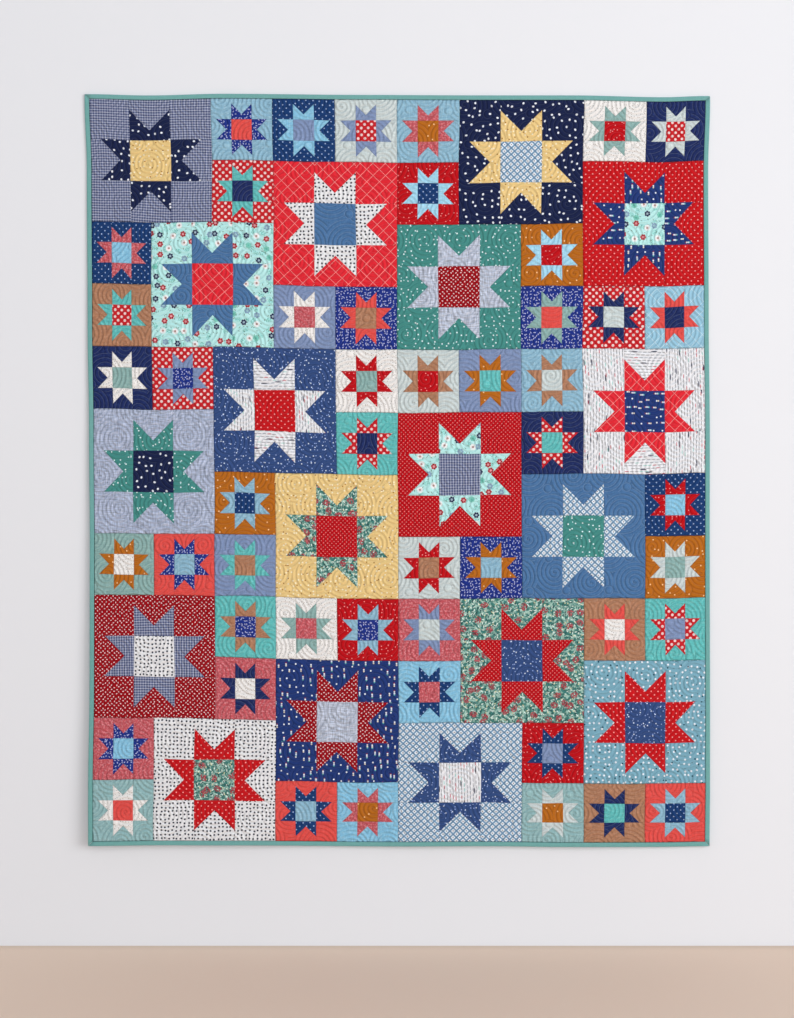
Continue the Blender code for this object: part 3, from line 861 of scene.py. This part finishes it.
SMALL_STARS = (  # column, row, ground, star, centre
    (2, 0, "light_blue", "royal", "coral"),
    (3, 0, "blue_small", "sky", "periwinkle"),
    (4, 0, "pale_grey", "periwinkle", "red_polka"),
    (5, 0, "light_blue", "rose", "ochre"),
    (8, 0, "cream", "sage", "red_specks"),
    (9, 0, "navy", "pale_grey", "red_polka"),
    (2, 1, "red_polka", "teal", "navy"),
    (5, 1, "red_specks", "pale_blue", "blue_small"),
    (0, 2, "blue_small", "rose", "sky"),
    (7, 2, "ochre", "pale_blue", "red_specks"),
    (0, 3, "tan", "teal", "red_polka"),
    (3, 3, "periwinkle", "cream", "rose"),
    (4, 3, "royal", "coral", "tan"),
    (7, 3, "royal", "sage", "coral"),
    (8, 3, "red_polka", "navy", "pale_grey"),
    (9, 3, "sky_lattice", "coral", "navy"),
    (0, 4, "navy", "cream", "sage"),
    (1, 4, "red_polka", "periwinkle", "royal"),
    (4, 4, "cream", "red_specks", "sage"),
    (5, 4, "pale_grey", "tan", "red_specks"),
    (6, 4, "periwinkle", "ochre", "teal"),
    (7, 4, "light_blue", "tan", "pale_grey"),
    (4, 5, "teal", "red_polka", "navy"),
    (7, 5, "navy", "red_polka", "teal"),
    (2, 6, "ochre", "light_blue", "blue_small"),
    (9, 6, "blue_small", "red_specks", "sky"),
    (0, 7, "sage", "ochre", "cream"),
    (1, 7, "coral", "royal", "light_blue"),
    (2, 7, "periwinkle", "teal", "tan"),
    (5, 7, "pale_grey", "red_specks", "tan"),
    (6, 7, "royal", "ochre", "light_blue"),
    (9, 7, "ochre", "pale_grey", "sage"),
    (2, 8, "teal", "tan", "royal"),
    (3, 8, "cream", "sage", "rose"),
    (4, 8, "red_specks", "light_blue", "royal"),
    (5, 8, "rose", "periwinkle", "pale_grey"),
    (8, 8, "tan", "coral", "cream"),
    (9, 8, "teal", "red_polka", "periwinkle"),
    (2, 9, "rose", "navy", "cream"),
    (5, 9, "sky", "blue_small", "rose"),
    (0, 10, "rose", "royal", "sky"),
    (7, 10, "red_specks", "blue_small", "periwinkle"),
    (0, 11, "aqua_grey", "cream", "coral"),
    (3, 11, "coral", "blue_small", "light_blue"),
    (4, 11, "sky", "rose", "ochre"),
    (7, 11, "aqua_grey", "pale_grey", "ochre"),
    (8, 11, "tan", "navy", "teal"),
    (9, 11, "coral", "light_blue", "blue_small"),
)
for units, blocks in ((2, LARGE_STARS), (1, SMALL_STARS)):
    pad = flat_pad((FINE * units, FINE * units), (COARSE * units, COARSE * units))
    cut_star(pad)
    for block in blocks:
        star_block(pad.data, units, *block)
    bpy.data.objects.remove(pad)


# The back
# A plain pale cotton in two lengths, joined down the middle. It is whole cloth,
# so only the long-arm's stitches and the middle seam draw it in.

BACK_PUFF = 0.0010
BACK_FINE = 30  # mesh squares to a unit
BACK_COARSE = 6

tree, threads = start_cotton("back_cotton")
finish_cotton(tree, threads, dye("cfd3d4"), 0.12)

panel_units = COLUMNS // 2
fine_squares = (BACK_FINE * panel_units, BACK_FINE * ROWS)
panel_pad = flat_pad(fine_squares, (BACK_COARSE * panel_units, BACK_COARSE * ROWS))
for side, first in (("left", 0), ("right", panel_units)):
    mesh = panel_pad.data.copy()
    shares = places_of(mesh.vertices, "co")
    across = (first + panel_units * shares[:, 0]) * UNIT_ACROSS
    down = ROWS * (1.0 - shares[:, 1]) * UNIT_DOWN
    flat = np.column_stack([across, down])
    seam = np.abs(across - WIDE / 2)
    held_down = smooth_step(to_border(across, down) / EDGE_REACH)
    backward = SEAM_HALF + BACK_PUFF * puffed(across, down, seam) * held_down
    backward = np.where(shares[:, 2] > 0.5, backward, MIDDLE_CLEAR)
    mesh.vertices.foreach_set("co", hang(across, down, -backward).ravel())
    mesh.flip_normals()
    faces, points = corners_of(mesh)
    write_seams(mesh, seam)
    write_swirls(mesh, flat, faces, points)
    write_bake_map(mesh, shares, faces, points)
    write_threads(mesh, flat, faces, points, np.zeros(len(mesh.polygons), int), np.zeros(1))
    piece = finish_piece(f"quilt_back_{side}", mesh, [cotton["back_cotton"]], "quilted_layers")
bpy.data.objects.remove(panel_pad)


# The binding
# A strip of teal cotton folded double, sewn to the front, turned over the edge and felled to the back.
# Its four sides meet in mitred corners, and its folded edge is soft and slightly uneven.

BINDING_CLOTH = 0.0012
BINDING_ROLL = 0.0021
SLOT_DEEP = 0.0094
BINDING_CLEAR = 0.0003
MITRE_CLEAR = 0.0003
BINDING_STEPS = 16  # mesh steps to a unit
ROLL_STEPS = 8
PUCKER = 0.00022
PUCKER_PITCH = 0.011
LEDGE = 0.0014  # from here out the strip's face is at its full height, and at its seam it dips
SEAM_DIP = 0.0003

tree, threads = start_cotton("binding_cotton")
finish_cotton(tree, threads, dye("72aba9"), 0.14, 0.0)


def binding_section():
    """The folded strip cut across: how far out from the seam line, and how far forward."""
    inner = BINDING_HALF - BINDING_CLOTH
    shoulder = BINDING_WIDE - BINDING_ROLL
    turns = [math.pi / 2 - math.pi * step / ROLL_STEPS for step in range(ROLL_STEPS + 1)]
    rolled = [(shoulder + BINDING_ROLL * math.cos(turn), BINDING_HALF * math.sin(turn)) for turn in turns]
    steps = (LEDGE, 0.4 * BINDING_WIDE, 0.62 * BINDING_WIDE)
    front = [(BINDING_CLEAR, inner), (BINDING_CLEAR, BINDING_HALF - SEAM_DIP)]
    front += [(out, BINDING_HALF) for out in steps]
    back = [(out, -BINDING_HALF) for out in (*reversed(steps), BINDING_CLEAR)] + [(BINDING_CLEAR, -inner)]
    return np.array([*front, *rolled, *back, (SLOT_DEEP, -inner), (SLOT_DEEP, inner)])


def binding(side):
    """One side's strip, from mitre to mitre."""
    level = side in ("top", "bottom")
    units, length = (COLUMNS, WIDE) if level else (ROWS, TALL)
    section = binding_section()
    stations = np.linspace(0.0, length, units * BINDING_STEPS + 1)
    out = np.tile(section[:, 0], len(stations))
    forward = np.tile(section[:, 1], len(stations))
    place = np.repeat(stations, len(section))
    first, last = slice(0, len(section)), slice(-len(section), None)
    place[first] = MITRE_CLEAR - out[first]
    place[last] = length + out[last] - MITRE_CLEAR
    shown = (forward > 0.8 * BINDING_HALF) & (out > LEDGE)
    turns = 2 * np.pi * place / PUCKER_PITCH
    waves = np.sin(turns) * np.sin(turns / 3.7 + units)
    forward = forward - np.where(shown, PUCKER * (1.0 + waves), 0.0)
    across, down = {
        "top": (place, -out),
        "bottom": (place, TALL + out),
        "left": (-out, place),
        "right": (WIDE + out, place),
    }[side]
    count = len(section)
    ring = np.arange(count)
    after = (ring + 1) % count
    quad = np.column_stack([ring, after, count + after, count + ring])
    last_start = count * (len(stations) - 1)
    faces = np.concatenate([start + quad for start in range(0, last_start, count)]).tolist()
    faces += [ring[::-1].tolist(), (ring + last_start).tolist()]
    mesh = bpy.data.meshes.new("binding_" + side)
    mesh.from_pydata(hang(across, down, forward), [], faces)
    if side in ("bottom", "left"):
        mesh.flip_normals()
    points = corners_of(mesh)[1]
    girth = np.concatenate([[0.0], np.cumsum(np.hypot(*np.diff(section, axis=0).T))])
    write_map(mesh, "threads", place[points], np.tile(girth, len(stations))[points])
    write_seams(mesh, np.ones(len(out)))
    cloths = [cotton["binding_cotton"]]
    piece = finish_piece("quilt_binding_" + side, mesh, cloths, "binding_" + side)


for side in ("top", "bottom", "left", "right"):
    binding(side)


# The floor and the wall
# Neither is part of the quilt: a plain pale floor, and a plain pale wall that shows only from in front
# and lets the sky's light through to the quilt's back, so that the back can be seen from behind.

FLOOR_LEVEL = -2.114
FLOOR_REACH = 6.0
WALL_WIDE = 12.0
WALL_TOP = 1.6
WALL_BEHIND = 0.001
LIT_WITHIN = 0.05  # the sky lights what stands this close in front of the wall through it


def stage_material(name, colour, roughness):
    made = bpy.data.materials.new(name)
    made.use_nodes = True
    shader = made.node_tree.nodes["Principled BSDF"]
    shader.inputs["Base Color"].default_value = dye(colour)
    shader.inputs["Roughness"].default_value = roughness
    return made


bpy.ops.object.select_all(action="DESELECT")
bpy.ops.mesh.primitive_plane_add(size=2 * FLOOR_REACH, location=(0.0, WALL_BEHIND - FLOOR_REACH, FLOOR_LEVEL))
floor = bpy.context.object
floor.name = "floor"
floor.data.materials.append(stage_material("pale_floor", "efd6c2", 0.7))

bpy.ops.mesh.primitive_plane_add(size=1.0, location=(0.0, WALL_BEHIND, (FLOOR_LEVEL + WALL_TOP) / 2))
wall = bpy.context.object
wall.name = "wall"
wall.rotation_euler.x = math.pi / 2
wall.scale = (WALL_WIDE, WALL_TOP - FLOOR_LEVEL, 1.0)
wall_paint = stage_material("pale_wall", "e6e9ef", 0.8)
tree = wall_paint.node_tree
facing = add_node(tree, "ShaderNodeNewGeometry", {}).outputs["Backfacing"]
clear = add_node(tree, "ShaderNodeBsdfTransparent", {}).outputs[0]
painted = tree.nodes["Principled BSDF"].outputs[0]
ray = add_node(tree, "ShaderNodeLightPath", {}).outputs
bounced = calculate(tree, "SUBTRACT", 1.0, ray["Is Camera Ray"])
near = calculate(tree, "LESS_THAN", ray["Ray Length"], LIT_WITHIN)
opened = calculate(tree, "MAXIMUM", facing, calculate(tree, "MULTIPLY", bounced, near))
one_sided = add_node(tree, "ShaderNodeMixShader", {0: opened, 1: painted, 2: clear}).outputs[0]
tree.links.new(one_sided, tree.nodes["Material Output"].inputs["Surface"])
wall.data.materials.append(wall_paint)


# The light and the camera
# A large soft light from the right, a weaker broad one in front, a pale even sky, and the photograph's view.

scene = bpy.context.scene
scene.view_settings.view_transform = "Standard"
world = bpy.data.worlds.new("studio")
scene.world = world
world.use_nodes = True
world.node_tree.nodes["Background"].inputs["Color"].default_value = (0.93, 0.965, 1.0, 1.0)
world.node_tree.nodes["Background"].inputs["Strength"].default_value = 0.535


def soft_light(name, place, aim, size, power):
    lamp = bpy.data.lights.new(name, "AREA")
    lamp.size = size
    lamp.energy = power
    made = bpy.data.objects.new(name, lamp)
    scene.collection.objects.link(made)
    made.location = place
    away = [here - there for here, there in zip(place, aim)]
    made.rotation_euler = mathutils.Vector(away).to_track_quat("Z", "Y").to_euler()


soft_light("window", (7.2, -7.6, 0.0), (0.0, 0.0, -1.1), 6.0, 556.0)
soft_light("room", (0.4, -6.5, 0.6), (0.0, 0.0, -1.0), 4.0, 77.0)

MIDDLE_RIGHT, MIDDLE_UP = -0.00425, -1.0271  # where the middle of the photograph falls on the wall
VIEW_DISTANCE = 4.5
METRES_PER_PIXEL = 0.002488
PIXELS_TALL = 1018
SENSOR = 36.0

camera = bpy.data.objects.new("camera", bpy.data.cameras.new("camera"))
scene.collection.objects.link(camera)
camera.location = (MIDDLE_RIGHT, -VIEW_DISTANCE, MIDDLE_UP)
camera.rotation_euler = (math.pi / 2, 0.0, 0.0)
camera.data.sensor_width = SENSOR
camera.data.lens = SENSOR * VIEW_DISTANCE / (PIXELS_TALL * METRES_PER_PIXEL)
scene.camera = camera
